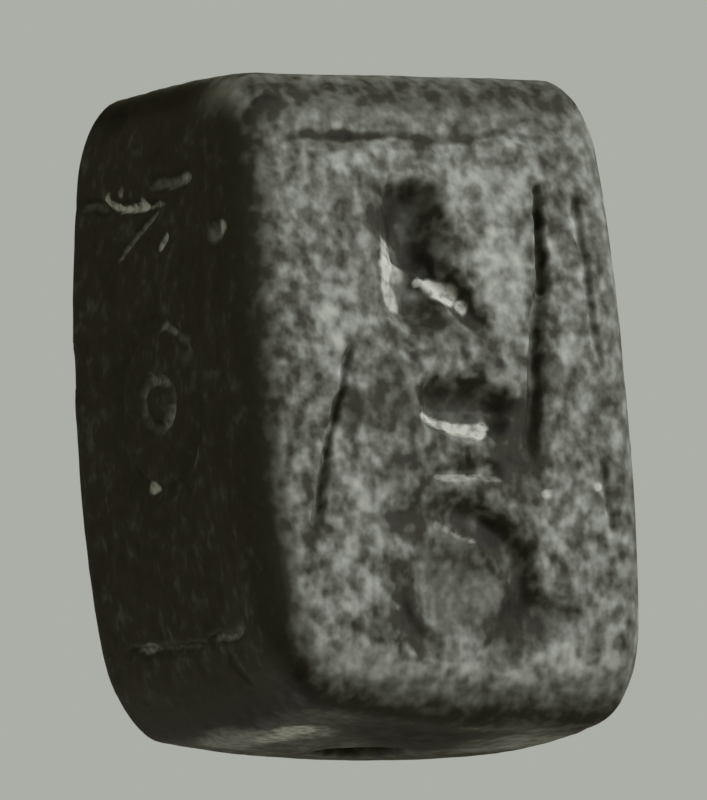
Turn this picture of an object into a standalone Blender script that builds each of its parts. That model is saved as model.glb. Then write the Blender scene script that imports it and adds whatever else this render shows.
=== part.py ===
"""Stone seal: a worn four-sided bead of dark mottled stone, with signs cut into its faces.

The bead lies on its plain back. X runs across the upper face, Y along the bead to its head end and
Z up. The origin lies under the middle of the bead, on the surface that carries it. Sizes are named
in millimetres and become metres where a point enters a mesh.

The stone is one solid. A squared block is moved to its worn shape by one formula, and the maker's
work is then taken out of it with Boolean cutters: boat-shaped cuts of a wheel, cups of a round
drill, rings of a tubular drill, the string hole and the chips of long use.
"""

import math
from dataclasses import dataclass

import bmesh
import bpy
from mathutils import Vector

MM = 0.001

# The squared block, before wear.
WIDTH = 10.25
LENGTH = 16.0
THICKNESS = 9.8
HALF = Vector((WIDTH / 2, LENGTH / 2, THICKNESS / 2))

# Wear of the block's edges.
EDGE_RADIUS = 0.9
EDGE_FLARE = 0.15          # what a long edge's radius gains where it reaches an end
HEAD_ROUNDING = 1.95       # how far each end's rounding reaches along the bead
FOOT_ROUNDING = 2.5

# Form of the faces. Bows, the fall and the widening are shares of the size they change.
HEAD_WIDENING = 0.013
LEFT_BOW = 0.133           # how much nearer the middle the left face lies at its two ends
RIGHT_BOW = 0.010
UPPER_FALL = 0.062         # the upper face falls towards the head end
UPPER_BOW = 0.064
HEAD_DOME = 0.065          # how far an end's rim falls back from its middle
FOOT_DOME = 0.41
HEAD_SLANT = (0.012, -0.062)    # rise of the end per millimetre across and up
FOOT_SLANT = (-0.070, 0.022)

# String hole, drilled from both ends, so it is widest at its mouths.
HOLE_MOUTH = 2.3
HOLE_THROAT = 1.8
HOLE_HEIGHT = 4.7          # of its middle over the back
HOLE_PAST_MIDDLE = 1.0     # how far each drilling runs past the middle
HOLE_PAST_END = 0.6

# Fineness of the meshes.
BLOCK_CELLS = 16
STROKE_SIDES = 12
STROKE_RINGS = 9
CUP_SIDES = 20
CUP_RINGS = 10
RING_STEPS = 36
RING_SIDES = 8
HOLE_SIDES = 28

# A cutter's middle stands this share of the cut's depth over the stone, so rims stay open.
CUTTER_RISE = 0.5
SURFACE_STEP = 0.01        # how far apart spots lie when a face's slope is taken


@dataclass(frozen=True)
class Face:
    """A face of the block: a spot on it is so far across and so far along from its middle.

    Across runs up the left face, over the upper face from left to right, and down the right face.
    """

    middle: tuple
    across: tuple

    def block_point(self, across, along):
        """The point of the block's skin at a spot on this face."""
        return Vector(self.middle) + Vector(self.across) * across + Vector((0, along, 0))


UPPER = Face((0, 0, HALF.z), (1, 0, 0))
LEFT = Face((-HALF.x, 0, 0), (0, 0, 1))
RIGHT = Face((HALF.x, 0, 0), (0, 0, -1))


@dataclass(frozen=True)
class Stroke:
    """A wheel's cut from start to end, each (across, along) on its face.

    Thinning is how much its width and depth shrink from the middle to the end, and fullness the
    share of its length that keeps its full depth.
    """

    face: Face
    start: tuple
    end: tuple
    width: float
    depth: float
    thinning: float = 0.0
    fullness: float = 0.5


@dataclass(frozen=True)
class Cup:
    """A round drill's cut, with its sizes across and along its face."""

    face: Face
    middle: tuple
    size: tuple
    depth: float
    turn: float = 0.0


@dataclass(frozen=True)
class Ring:
    """A tubular drill's groove. Its radius is that of the groove's middle."""

    face: Face
    middle: tuple
    radius: float
    width: float
    depth: float


@dataclass(frozen=True)
class Chip:
    """A flake lost from an edge, at a spot given in shares of the block's half size."""

    spot: tuple
    bite: float
    thickness: float
    spread_along: float
    spread_around: float


STROKES = {
    # Standing figure on the upper face.
    "beak": Stroke(UPPER, (-0.95, 3.35), (1.15, 1.5), 0.62, 0.55, thinning=0.55, fullness=0.0),
    "shoulders": Stroke(UPPER, (-1.05, -0.15), (1.65, -0.72), 1.35, 0.5, fullness=0.2),
    "belt": Stroke(UPPER, (-0.75, -1.85), (1.32, -1.93), 0.32, 0.18),
    "back_fold": Stroke(UPPER, (-0.45, -3.15), (2.35, -4.65), 1.25, 0.6, fullness=0.25),
    "side_fold": Stroke(UPPER, (1.68, -3.8), (1.72, -6.5), 1.05, 0.5, fullness=0.3),
    "front_fold": Stroke(UPPER, (-1.28, -3.75), (-1.3, -6.5), 0.85, 0.46, fullness=0.3),
    "hem": Stroke(UPPER, (-1.35, -6.15), (1.9, -6.35), 1.0, 0.42, fullness=0.4),
    "foot": Stroke(UPPER, (1.5, -4.85), (3.35, -5.3), 1.7, 0.42, thinning=0.6, fullness=0.0),
    # Long strokes beside it.
    "left_stroke_upper": Stroke(UPPER, (-2.5, 1.15), (-3.38, -1.35), 0.22, 0.15, thinning=-0.2),
    "left_stroke_lower": Stroke(UPPER, (-3.2, -0.7), (-3.98, -3.3), 0.32, 0.22, thinning=-0.2),
    "staff_upper": Stroke(UPPER, (2.96, 5.0), (2.53, 1.3), 0.38, 0.3, fullness=0.7),
    "staff_lower": Stroke(UPPER, (2.62, 1.8), (2.07, -1.8), 0.42, 0.26, thinning=-0.1),
    # Border lines of the upper face.
    "head_border": Stroke(UPPER, (-3.95, 6.4), (3.4, 6.47), 0.34, 0.13, fullness=0.7),
    "right_border_upper": Stroke(UPPER, (3.88, 4.75), (4.1, 0.6), 0.2, 0.12),
    "right_border_lower": Stroke(UPPER, (3.92, -1.75), (3.98, -3.2), 0.24, 0.14),
    # Left face.
    "left_head_border": Stroke(LEFT, (-4.0, 5.42), (0.85, 4.86), 0.32, 0.16),
    "left_slash": Stroke(LEFT, (0.78, 4.92), (-1.6, 3.92), 0.2, 0.12),
    "left_dash": Stroke(LEFT, (0.0, 5.52), (2.5, 5.4), 0.42, 0.16),
    "left_foot_border": Stroke(LEFT, (-2.95, -5.6), (3.2, -5.73), 0.28, 0.14, fullness=0.7),
    # Right face, kept plainer.
    "right_head_border": Stroke(RIGHT, (-3.1, 5.35), (3.3, 5.2), 0.28, 0.13),
    "right_foot_border": Stroke(RIGHT, (-3.0, -5.45), (3.2, -5.6), 0.28, 0.13),
}

CUPS = {
    "head": Cup(UPPER, (-0.45, 4.2), (1.85, 2.1), 0.62),
    "throat": Cup(UPPER, (-0.62, 2.55), (1.45, 2.1), 0.4, turn=8),
    "body": Cup(UPPER, (0.2, -4.9), (3.6, 3.7), 0.44),
    "left_cup": Cup(LEFT, (3.68, 3.95), (0.85, 0.8), 0.26),
}

RINGS = {
    "left_outer_ring": Ring(LEFT, (0.05, 0.18), 2.0, 0.3, 0.13),
    "left_inner_ring": Ring(LEFT, (0.15, 0.22), 0.7, 0.36, 0.2),
    "right_ring": Ring(RIGHT, (0.0, 0.1), 1.6, 0.34, 0.16),
}

CHIPS = {
    "head_corner_chip": Chip((-1.0, 0.96, -0.5), 0.16, 1.0, 1.5, 1.5),
    "back_edge_chip": Chip((-1.0, 0.2, -0.95), 0.13, 0.9, 2.2, 1.6),
    "head_rim_nick": Chip((-0.47, 1.0, 0.88), 0.12, 0.5, 0.9, 0.5),
    "foot_corner_chip": Chip((1.0, -0.97, 0.3), 0.14, 0.9, 1.3, 1.6),
}


def rounding(point):
    """How a point of the block's skin is rounded: the middle, radii and direction of its rounding.

    The roundings are ellipses that reach further along the bead than across it.
    """
    along = point.y / HALF.y
    side = EDGE_RADIUS + EDGE_FLARE * along ** 4
    radii = Vector((side, HEAD_ROUNDING if along > 0 else FOOT_ROUNDING, side))
    reach = HALF - radii
    middle = Vector(max(-limit, min(limit, value)) for value, limit in zip(point, reach))
    lean = Vector((value - inner) / radius for value, inner, radius in zip(point, middle, radii))
    return middle, radii, lean.normalized()


def worn_point(point):
    """Where a point of the block's skin lies on the worn stone, before it is centred.

    The rounded block's faces are bowed, its ends domed and slanted, and its upper face let down
    towards the head end. The back stays flat.
    """
    middle, radii, lean = rounding(point)
    x, y, z = (inner + radius * part for inner, radius, part in zip(middle, radii, lean))

    along = y / HALF.y
    bow = RIGHT_BOW if x > 0 else LEFT_BOW
    x *= 1 + HEAD_WIDENING * along - bow * along ** 2

    from_axis = (x / HALF.x) ** 2 + (z / HALF.z) ** 2
    dome = -HEAD_DOME if y > 0 else FOOT_DOME
    slant = HEAD_SLANT if y > 0 else FOOT_SLANT
    y += dome * from_axis * abs(along) ** 3 + (slant[0] * x + slant[1] * z) * along ** 2

    along = y / HALF.y
    z = (z + HALF.z) * (1 - UPPER_FALL * along - UPPER_BOW * along ** 2)
    return Vector((x, y, z))


def spaced(share):
    """Crowds evenly spaced grid lines towards the block's edges, where the stone is rounded."""
    return math.sin(share * math.pi / 2)


def add_object(name, mesh_data, collection):
    """Turns a bmesh into a named mesh object in a collection."""
    mesh = bpy.data.meshes.new(name)
    mesh_data.to_mesh(mesh)
    mesh_data.free()
    thing = bpy.data.objects.new(name, mesh)
    collection.objects.link(thing)
    return thing


def add_collection(name):
    """Adds a collection to the scene."""
    collection = bpy.data.collections.new(name)
    bpy.context.scene.collection.children.link(collection)
    return collection


def worn_block():
    """The block's skin as a grid of BLOCK_CELLS cells a side, moved to the worn shape."""
    skin = bmesh.new()
    bmesh.ops.create_cube(skin, size=2)
    bmesh.ops.subdivide_edges(skin, edges=skin.edges[:], cuts=BLOCK_CELLS - 1, use_grid_fill=True)
    for vertex in skin.verts:
        share = Vector(spaced(value) for value in vertex.co)
        vertex.co = worn_point(share * HALF)
    return skin


def middle_of(skin):
    """The middle of the skin's bounding box across and along, at the height of its back."""
    low = Vector(min(vertex.co[axis] for vertex in skin.verts) for axis in range(3))
    high = Vector(max(vertex.co[axis] for vertex in skin.verts) for axis in range(3))
    return Vector(((low.x + high.x) / 2, (low.y + high.y) / 2, low.z))


def over_face(face, across, along, out):
    """The point that stands a distance out from a spot on a worn face."""
    spot = worn_point(face.block_point(across, along))
    beside = worn_point(face.block_point(across + SURFACE_STEP, along)) - spot
    ahead = worn_point(face.block_point(across, along + SURFACE_STEP)) - spot
    return spot + beside.cross(ahead).normalized() * out


def open_rim(depth):
    """How a round cutter of a given depth is held: its rise, its half height and its spread.

    The spread makes up for the rise, so the cut is as wide at the surface as it is said to be.
    """
    rise = depth * CUTTER_RISE
    reach = depth + rise
    return rise, reach, 1 / math.sqrt(1 - (rise / reach) ** 2)


def stroke_cutter(stroke):
    """A boat-shaped cutter bent onto a worn face: a long ball whose ends run out of the stone."""
    rise, reach, spread = open_rim(stroke.depth)
    start, end = Vector(stroke.start), Vector(stroke.end)
    half_run = (end - start).length / 2
    heading = (end - start).normalized()
    sideways = Vector((-heading.y, heading.x))
    straight = half_run * stroke.fullness
    cap = (half_run - straight) * spread
    cutter = bmesh.new()
    bmesh.ops.create_uvsphere(cutter, u_segments=STROKE_SIDES, v_segments=STROKE_RINGS, radius=1)
    for vertex in cutter.verts:
        side, up, ahead = vertex.co
        girth = 1 - stroke.thinning * ahead
        forward = ahead * cap + math.copysign(straight, ahead)
        aside = side * girth * stroke.width / 2 * spread
        spot = (start + end) / 2 + heading * forward + sideways * aside
        vertex.co = over_face(stroke.face, spot.x, spot.y, (rise + up * reach) * girth)
    return cutter


def cup_cutter(cup):
    """A round or oval drill's cutter, bent onto a worn face."""
    rise, reach, spread = open_rim(cup.depth)
    angle = math.radians(cup.turn)
    cutter = bmesh.new()
    bmesh.ops.create_uvsphere(cutter, u_segments=CUP_SIDES, v_segments=CUP_RINGS, radius=1)
    for vertex in cutter.verts:
        u = vertex.co.x * cup.size[0] / 2 * spread
        v = vertex.co.y * cup.size[1] / 2 * spread
        across = cup.middle[0] + u * math.cos(angle) - v * math.sin(angle)
        along = cup.middle[1] + u * math.sin(angle) + v * math.cos(angle)
        vertex.co = over_face(cup.face, across, along, rise + vertex.co.z * reach)
    return cutter


def ring_cutter(ring):
    """A tubular drill's cutter: a ring bent onto a worn face."""
    rise, reach, spread = open_rim(ring.depth)
    wall = ring.width / 2 * spread
    bpy.ops.mesh.primitive_torus_add(
        major_segments=RING_STEPS, minor_segments=RING_SIDES,
        major_radius=ring.radius, minor_radius=wall)
    torus = bpy.context.active_object
    cutter = bmesh.new()
    cutter.from_mesh(torus.data)
    bpy.data.meshes.remove(torus.data)
    for vertex in cutter.verts:
        across = ring.middle[0] + vertex.co.x
        along = ring.middle[1] + vertex.co.y
        vertex.co = over_face(ring.face, across, along, rise + vertex.co.z / wall * reach)
    return cutter


def chip_cutter(chip):
    """A flake: a coarse lens that stands outside the stone and bites into its edge."""
    spot = Vector(chip.spot) * HALF
    radii, lean = rounding(spot)[1:]
    outward = Vector(part / radius for part, radius in zip(lean, radii)).normalized()
    around = outward.cross(Vector((0, 1, 0))).normalized()
    along = around.cross(outward)
    middle = worn_point(spot) + outward * (chip.thickness / 2 - chip.bite)
    cutter = bmesh.new()
    bmesh.ops.create_icosphere(cutter, subdivisions=2, radius=0.5)
    for vertex in cutter.verts:
        out, ahead, side = vertex.co
        vertex.co = (middle + outward * (out * chip.thickness)
                     + along * (ahead * chip.spread_along) + around * (side * chip.spread_around))
    return cutter


def hole_cutter(heading):
    """One drilling of the string hole: a cone from outside one end to past the bead's middle."""
    run = HALF.y + HOLE_PAST_END + HOLE_PAST_MIDDLE
    cutter = bmesh.new()
    bmesh.ops.create_cone(
        cutter, cap_ends=True, segments=HOLE_SIDES,
        radius1=HOLE_THROAT / 2, radius2=HOLE_MOUTH / 2, depth=run)
    for vertex in cutter.verts:
        x, y, z = vertex.co
        outward = z + run / 2 - HOLE_PAST_MIDDLE
        vertex.co = Vector((x * heading, outward * heading, HOLE_HEIGHT - y))
    return cutter


def cut(stone, name, cutter, centre, collection):
    """Takes one cutter, given in millimetres, out of the stone."""
    for vertex in cutter.verts:
        vertex.co = (vertex.co - centre) * MM
    tool = add_object(name, cutter, collection)
    tool.hide_render = True
    tool.display_type = 'WIRE'
    boolean = stone.modifiers.new(name, 'BOOLEAN')
    boolean.operation = 'DIFFERENCE'
    boolean.solver = 'EXACT'
    boolean.object = tool


def dark_stone():
    """Dark grey soapstone, rubbed to a dull polish."""
    material = bpy.data.materials.new("dark_soapstone")
    material.use_nodes = True
    surface = material.node_tree.nodes["Principled BSDF"]
    surface.inputs["Base Color"].default_value = (0.085, 0.083, 0.069, 1)
    surface.inputs["Roughness"].default_value = 0.42
    surface.inputs["Metallic"].default_value = 0
    return material


def clear_scene():
    """Removes every object, so the script can be run again from the text editor."""
    for thing in list(bpy.data.objects):
        bpy.data.objects.remove(thing)


def build():
    """Builds the stone and takes the maker's work out of it."""
    clear_scene()
    parts = add_collection("stone seal")
    cutters = add_collection("cutters")

    skin = worn_block()
    centre = middle_of(skin)
    for vertex in skin.verts:
        vertex.co = (vertex.co - centre) * MM
    stone = add_object("stone_seal", skin, parts)
    stone.data.materials.append(dark_stone())

    tools = {"hole_from_head": hole_cutter(1), "hole_from_foot": hole_cutter(-1)}
    tools.update({name: cup_cutter(cup) for name, cup in CUPS.items()})
    tools.update({name: ring_cutter(ring) for name, ring in RINGS.items()})
    tools.update({name: stroke_cutter(stroke) for name, stroke in STROKES.items()})
    tools.update({name: chip_cutter(chip) for name, chip in CHIPS.items()})
    for name, cutter in tools.items():
        cut(stone, name, cutter, centre, cutters)

    stone.data.shade_smooth()


build()
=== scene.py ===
"""Looks of a stone seal: a worn four-sided bead of dark mottled soapstone with signs cut into it.

Shapes are worked out in millimetres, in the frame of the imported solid: X across the upper face, Y
along the bead to its head end and Z up from the back it lies on. The stone is one piece. Its skin
is a grid over a squared block, finer where it is carved, that a formula moves to the worn shape
and that the cuts and chips then sink into.
"""

import logging
import math
from dataclasses import dataclass
from enum import Enum

import bpy
import numpy as np
from mathutils import Matrix, Vector


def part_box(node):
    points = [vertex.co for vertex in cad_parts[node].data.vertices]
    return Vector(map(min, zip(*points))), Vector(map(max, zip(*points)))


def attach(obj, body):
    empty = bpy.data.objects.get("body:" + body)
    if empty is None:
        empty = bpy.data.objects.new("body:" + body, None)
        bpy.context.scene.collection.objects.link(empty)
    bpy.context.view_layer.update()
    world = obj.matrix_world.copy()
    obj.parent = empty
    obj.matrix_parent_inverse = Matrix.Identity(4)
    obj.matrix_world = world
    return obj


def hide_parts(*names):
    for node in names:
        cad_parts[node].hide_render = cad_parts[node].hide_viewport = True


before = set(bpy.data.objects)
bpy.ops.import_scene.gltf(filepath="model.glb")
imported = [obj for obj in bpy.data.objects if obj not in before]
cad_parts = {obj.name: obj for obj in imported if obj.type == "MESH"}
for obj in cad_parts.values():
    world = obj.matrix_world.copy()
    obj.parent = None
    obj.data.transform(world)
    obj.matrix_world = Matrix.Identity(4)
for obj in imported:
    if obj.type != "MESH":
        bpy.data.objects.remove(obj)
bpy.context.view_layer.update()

MM = 0.001
NODE = "stone_seal"
FINEST = 4                # finest cells to a side of a coarse cell
EXPONENTS = (-40, 60)     # a cut's level over the wear is held between these
BEAD_MIDDLE = 0.005       # height of the bead's middle over the floor, in metres
LOG = logging.getLogger("seal")

# Numbers that stir a cell's place and a seed into an even spread of bits.
PLACE_PRIMES = (73856093, 19349663, 83492791)
SEED_PRIME = 2654435761
STIR = 0x45D9F3B
WORD = 0xFFFFFFFF
HALF_WORD = 0xFFFF


def linear(tone: str) -> tuple[float, float, float, float]:
    """Turns an sRGB tone to linear light.

    Args:
        tone: A hex tone such as "#6e6f69".

    Returns:
        The linear colour, with an alpha of one.
    """
    shares = [int(tone[at:at + 2], 16) / 255 for at in (1, 3, 5)]
    red, green, blue = (
        share / 12.92 if share <= 0.04045 else ((share + 0.055) / 1.055) ** 2.4 for share in shares)
    return red, green, blue, 1.0


def add_node(tree: bpy.types.NodeTree, kind: str, settings: dict | None = None,
             inputs: dict | None = None) -> bpy.types.Node:
    """Adds one shader node.

    Args:
        tree: The node tree it goes into.
        kind: The node's type, such as "ShaderNodeMix".
        settings: Attributes to set on the node.
        inputs: Values or output sockets, by the name or number of the input they go to.

    Returns:
        The new node.
    """
    node = tree.nodes.new(kind)
    for name, value in (settings or {}).items():
        setattr(node, name, value)
    for name, value in (inputs or {}).items():
        if isinstance(value, bpy.types.NodeSocket):
            tree.links.new(value, node.inputs[name])
        else:
            node.inputs[name].default_value = value
    return node


def smooth_step(share: np.ndarray) -> np.ndarray:
    """Eases from 0 to 1: three squares less two cubes of the share, held between 0 and 1."""
    share = np.clip(share, 0.0, 1.0)
    return share * share * (3.0 - 2.0 * share)


def hashed(cell: np.ndarray, seed: int) -> np.ndarray:
    """Stirs the bits of each cell's place and the seed into a fixed number.

    Args:
        cell: Places in whole numbers, three to a cell.
        seed: Which of many such patterns.

    Returns:
        One number from -1 to 1 to a cell.
    """
    mixed = np.bitwise_xor.reduce(cell * np.array(PLACE_PRIMES), axis=-1)
    mixed = (mixed ^ (seed * SEED_PRIME)) & WORD
    for _ in range(2):
        mixed = ((mixed ^ (mixed >> 16)) * STIR) & WORD
    return ((mixed ^ (mixed >> 16)) & HALF_WORD) / (HALF_WORD / 2) - 1.0


def cloud(point: np.ndarray, size: float, seed: int) -> np.ndarray:
    """Soft lumps: hashed numbers at the corners of cubic cells, eased from corner to corner.

    Args:
        point: Points in millimetres, one row of three to a point.
        size: Width of a lump in millimetres.
        seed: Which of many such patterns.

    Returns:
        One number from -1 to 1 to a point.
    """
    place = point / size
    cell = np.floor(place).astype(np.int64)
    ease = smooth_step(place - cell)
    total = np.zeros(len(point))
    for corner in np.ndindex(2, 2, 2):
        share = np.prod(np.where(np.array(corner) == 1, ease, 1.0 - ease), axis=1)
        total += share * hashed(cell + np.array(corner), seed)
    return total


def lumps(point: np.ndarray, layers: tuple[tuple[float, float, int], ...]) -> np.ndarray:
    """The sum of layers of soft lumps, each with its height, width and seed."""
    return sum(height * cloud(point, width, seed) for height, width, seed in layers)


class Side(Enum):
    """A side of the squared block: its across, along and facing axes, its end, and its turn.

    Turn is 1 where across and along already face out of the stone, and -1 where they face in.
    """

    UPPER = (0, 1, 2, 1, 1)
    BACK = (0, 1, 2, 0, -1)
    LEFT = (2, 1, 0, 0, 1)
    RIGHT = (2, 1, 0, 1, -1)
    HEAD = (0, 2, 1, 1, -1)
    FOOT = (0, 2, 1, 0, 1)

    def spot(self, point: np.ndarray) -> tuple[np.ndarray, np.ndarray]:
        """Where points lie on this side.

        Args:
            point: Block points.

        Returns:
            Their places across, which goes round the bead, and along.
        """
        across, along = self.value[:2]
        turn = -1.0 if self is Side.RIGHT else 1.0
        return turn * point[:, across], point[:, along]


ENDS = (Side.FOOT, Side.HEAD)


@dataclass(frozen=True)
class Mark:
    """An outline on a side, with places and sizes (across, along) in millimetres."""

    def place(self, across: np.ndarray, along: np.ndarray) -> tuple[np.ndarray, np.ndarray]:
        """How spots lie in the mark.

        Args:
            across: Places across the side.
            along: Places along the side.

        Returns:
            The reach, which is 0 where the mark is deepest and 1 at its rim. Then the mark's
            girth there as a share of that at its middle.
        """
        raise NotImplementedError


@dataclass(frozen=True, kw_only=True)
class LongMark(Mark):
    """A mark that follows a line.

    Attributes:
        thinning: How much it shrinks from its middle to its end.
        fullness: The share of its length that keeps its full width.
        lean: Where its deepest line lies to the left of its middle line, or outside it on an
            arc, as a share of its half width.
    """

    thinning: float = 0.0
    fullness: float = 0.5
    lean: float = 0.0

    def spread(self, width: float, aside: np.ndarray,
               ahead: np.ndarray) -> tuple[np.ndarray, np.ndarray]:
        """The reach and the girth of spots.

        Args:
            width: Width of the mark at its middle.
            aside: Distance from its middle line, positive on the side it leans to.
            ahead: Way along it, from -1 at its start to 1 at its end.

        Returns:
            The root of the squared share of the way from the deepest line to the rim plus the
            squared share of the way beyond the full length. Then the girth.
        """
        girth = 1.0 - self.thinning * np.clip(ahead, -1, 1)
        aside = aside / (width / 2 * girth)
        share = (aside - self.lean) / np.where(aside > self.lean, 1 - self.lean, 1 + self.lean)
        beyond = np.maximum(np.abs(ahead) - self.fullness, 0.0) / (1.0 - self.fullness)
        return np.hypot(share, beyond), girth


@dataclass(frozen=True)
class Bar(LongMark):
    """A straight or slightly bent mark.

    Attributes:
        start: Where it starts.
        end: Where it ends.
        width: Its width at its middle.
        bend: How far its middle swings out to the left of a straight line.
    """

    start: tuple[float, float]
    end: tuple[float, float]
    width: float
    bend: float = 0.0

    def place(self, across: np.ndarray, along: np.ndarray) -> tuple[np.ndarray, np.ndarray]:
        """How spots lie in the mark. The bend is full at its middle and gone at both ends.

        Args:
            across: Places across the side.
            along: Places along the side.

        Returns:
            The reach and the girth.
        """
        run = np.subtract(self.end, self.start)
        half_run = np.hypot(*run) / 2
        heading = run / (2 * half_run)
        middle = np.add(self.start, self.end) / 2
        ahead = ((across - middle[0]) * heading[0] + (along - middle[1]) * heading[1]) / half_run
        aside = (along - middle[1]) * heading[0] - (across - middle[0]) * heading[1]
        aside = aside - self.bend * (1.0 - np.clip(ahead, -1, 1) ** 2)
        return self.spread(self.width, aside, ahead)


@dataclass(frozen=True)
class Arc(LongMark):
    """A mark along part of a circle, as a wheel leaves that is led round.

    Attributes:
        middle: Middle of the circle.
        radius: Radius of the mark's middle line.
        span: The directions of its two ends from the middle, in degrees from across to along.
        width: Its width.
    """

    FARTHEST = 9          # the way along is held at so many half lengths

    middle: tuple[float, float]
    radius: float
    span: tuple[float, float]
    width: float

    def place(self, across: np.ndarray, along: np.ndarray) -> tuple[np.ndarray, np.ndarray]:
        """How spots lie in the mark: as in a bar that is bent round the circle.

        Args:
            across: Places across the side.
            along: Places along the side.

        Returns:
            The reach and the girth.
        """
        u, v = across - self.middle[0], along - self.middle[1]
        half_span = (self.span[1] - self.span[0]) / 2
        turned = np.degrees(np.arctan2(v, u)) - self.span[0] - half_span
        ahead = ((turned + 180.0) % 360.0 - 180.0) / half_span
        ahead = np.clip(ahead, -self.FARTHEST, self.FARTHEST)
        return self.spread(self.width, np.hypot(u, v) - self.radius, ahead)


@dataclass(frozen=True)
class Oval(Mark):
    """A rounded mark.

    Attributes:
        middle: Its middle.
        size: Its width across and along its side.
        turn: Degrees it is turned.
        lean: Where its deepest point lies, as shares of its half sizes from its middle.
    """

    middle: tuple[float, float]
    size: tuple[float, float]
    turn: float = 0.0
    lean: tuple[float, float] = (0.0, 0.0)

    def place(self, across: np.ndarray, along: np.ndarray) -> tuple[np.ndarray, np.ndarray]:
        """How spots lie in the mark.

        The reach is the share r for which a circle of radius r, round a point that moves from
        the deepest point to the middle as r grows, meets the spot.

        Args:
            across: Places across the side.
            along: Places along the side.

        Returns:
            The reach and the girth.
        """
        angle = math.radians(self.turn)
        u, v = across - self.middle[0], along - self.middle[1]
        from_low_u = (u * math.cos(angle) + v * math.sin(angle)) / (self.size[0] / 2) - self.lean[0]
        from_low_v = (v * math.cos(angle) - u * math.sin(angle)) / (self.size[1] / 2) - self.lean[1]
        toward = from_low_u * self.lean[0] + from_low_v * self.lean[1]
        room = 1.0 - self.lean[0] ** 2 - self.lean[1] ** 2
        squared = from_low_u ** 2 + from_low_v ** 2
        return (toward + np.sqrt(toward ** 2 + room * squared)) / room, np.ones_like(squared)


@dataclass(frozen=True)
class Hoop(Mark):
    """A ring-shaped mark, as a tubular drill leaves.

    Attributes:
        middle: Its middle.
        radius: Radius of its middle line, across its side.
        width: Its width.
        flatness: Its size along its side as a share of that across it.
    """

    middle: tuple[float, float]
    radius: float
    width: float
    flatness: float = 1.0

    def place(self, across: np.ndarray, along: np.ndarray) -> tuple[np.ndarray, np.ndarray]:
        """How spots lie in the mark: the distance from its middle line, in half widths."""
        out = np.hypot(across - self.middle[0], (along - self.middle[1]) / self.flatness)
        return np.abs(out - self.radius) / (self.width / 2), np.ones_like(out)


@dataclass(frozen=True)
class Cut:
    """A cut into a side.

    Attributes:
        mark: Its outline.
        depth: How deep it goes.
        floor: 1 for a sharp furrow, 2 for a bowl, 4 for a flat floor.
        rim: 1 for a sharp rim, 2 for one that is worn round.
    """

    mark: Mark
    depth: float
    floor: float = 2.0
    rim: float = 1.0

    def level(self, across: np.ndarray, along: np.ndarray) -> np.ndarray:
        """How deep the cut is: its depth times 1 less the reach to the floor's power, all to the
        rim's power.

        Args:
            across: Places across the side.
            along: Places along the side.

        Returns:
            The depth at each spot, negative outside the rim.
        """
        reach, girth = self.mark.place(across, along)
        share = 1.0 - reach ** self.floor
        return self.depth * girth * np.where(share > 0, np.abs(share) ** self.rim, share)


@dataclass(frozen=True)
class Tone:
    """A soft-edged mark of another tone, used for the stone's own tone and for painted light and shade.

    Attributes:
        mark: Its outline.
        amount: How strong it is at its middle. A shade below 0 is dark and above 0 pale.
        crispness: How sharp its rim is: 1 falls off from the middle, 4 only near the rim.
    """

    mark: Mark
    amount: float
    crispness: float = 1.5

    def strength(self, across: np.ndarray, along: np.ndarray) -> np.ndarray:
        """Strength at spots: the amount times the eased share of the way in from the rim."""
        reach, _ = self.mark.place(across, along)
        return self.amount * smooth_step((1.0 - reach ** 2) * self.crispness)


@dataclass(frozen=True)
class Swell:
    """A place where the stone stands a little proud of its form.

    Attributes:
        spot: Its middle, in shares of the block's half size.
        reach: How far it reaches along each axis, in the same shares.
        rise: How proud its middle stands.
    """

    spot: tuple[float, float, float]
    reach: tuple[float, float, float]
    rise: float

    def height(self, share: np.ndarray) -> np.ndarray:
        """Rise at points given in shares of the half size: eased from the middle to the reach."""
        off = np.linalg.norm((share - self.spot) / self.reach, axis=1)
        return self.rise * smooth_step(1 - off)


@dataclass(frozen=True)
class Chip:
    """A flake lost from an edge, shaped like a lens.

    Attributes:
        spot: Where it lies, in shares of the block's half size.
        bite: How deep it goes.
        thickness: Thickness of the lens.
        spread: Its size along the bead and around it.
    """

    spot: tuple[float, float, float]
    bite: float
    thickness: float
    spread: tuple[float, float]


def cuts(*rows: tuple) -> tuple[Cut, ...]:
    """Cuts from rows that hold a mark, a depth and, where they aren't plain, floor and rim."""
    return tuple(Cut(*row) for row in rows)


def tones(*rows: tuple) -> tuple[Tone, ...]:
    """Tones from rows that hold a mark, an amount and, where it isn't plain, a crispness."""
    return tuple(Tone(*row) for row in rows)


STAFF = (
    Bar((2.93, 5.15), (2.78, 2.33), 0.3, thinning=-0.3, fullness=0.85),
    Bar((2.8, 2.9), (2.05, -1.6), 0.42, thinning=-0.15, fullness=0.75, bend=-0.07),
)
HEAD_BORDER = (
    Bar((-4.0, 6.27), (-1.6, 6.36), 0.42, fullness=0.6),
    Bar((-2.3, 6.38), (0.2, 6.28), 0.36, fullness=0.6, bend=0.05),
    Bar((-0.3, 6.29), (1.7, 6.36), 0.46, fullness=0.6, bend=-0.05),
    Bar((1.3, 6.42), (2.5, 6.54), 0.28),
    Bar((2.3, 6.46), (3.0, 6.3), 0.34),
)
HEAD = Bar((-0.45, 5.3), (-0.58, 2.7), 1.95, lean=0.08)
BEAK = Bar((-0.9, 3.6), (1.2, 1.36), 1.05, thinning=0.6, fullness=0.15, lean=0.4)
MOAT = Arc((-0.2, -4.7), 1.76, (128, -50), 1.15, fullness=0.35, lean=0.15)
LOWER_MOAT = Arc((-0.2, -4.75), 1.55, (148, 262), 0.85)
WEDGE = Bar((0.9, -5.48), (3.45, -5.42), 1.75, thinning=0.6, fullness=0.35, lean=0.2)
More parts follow.
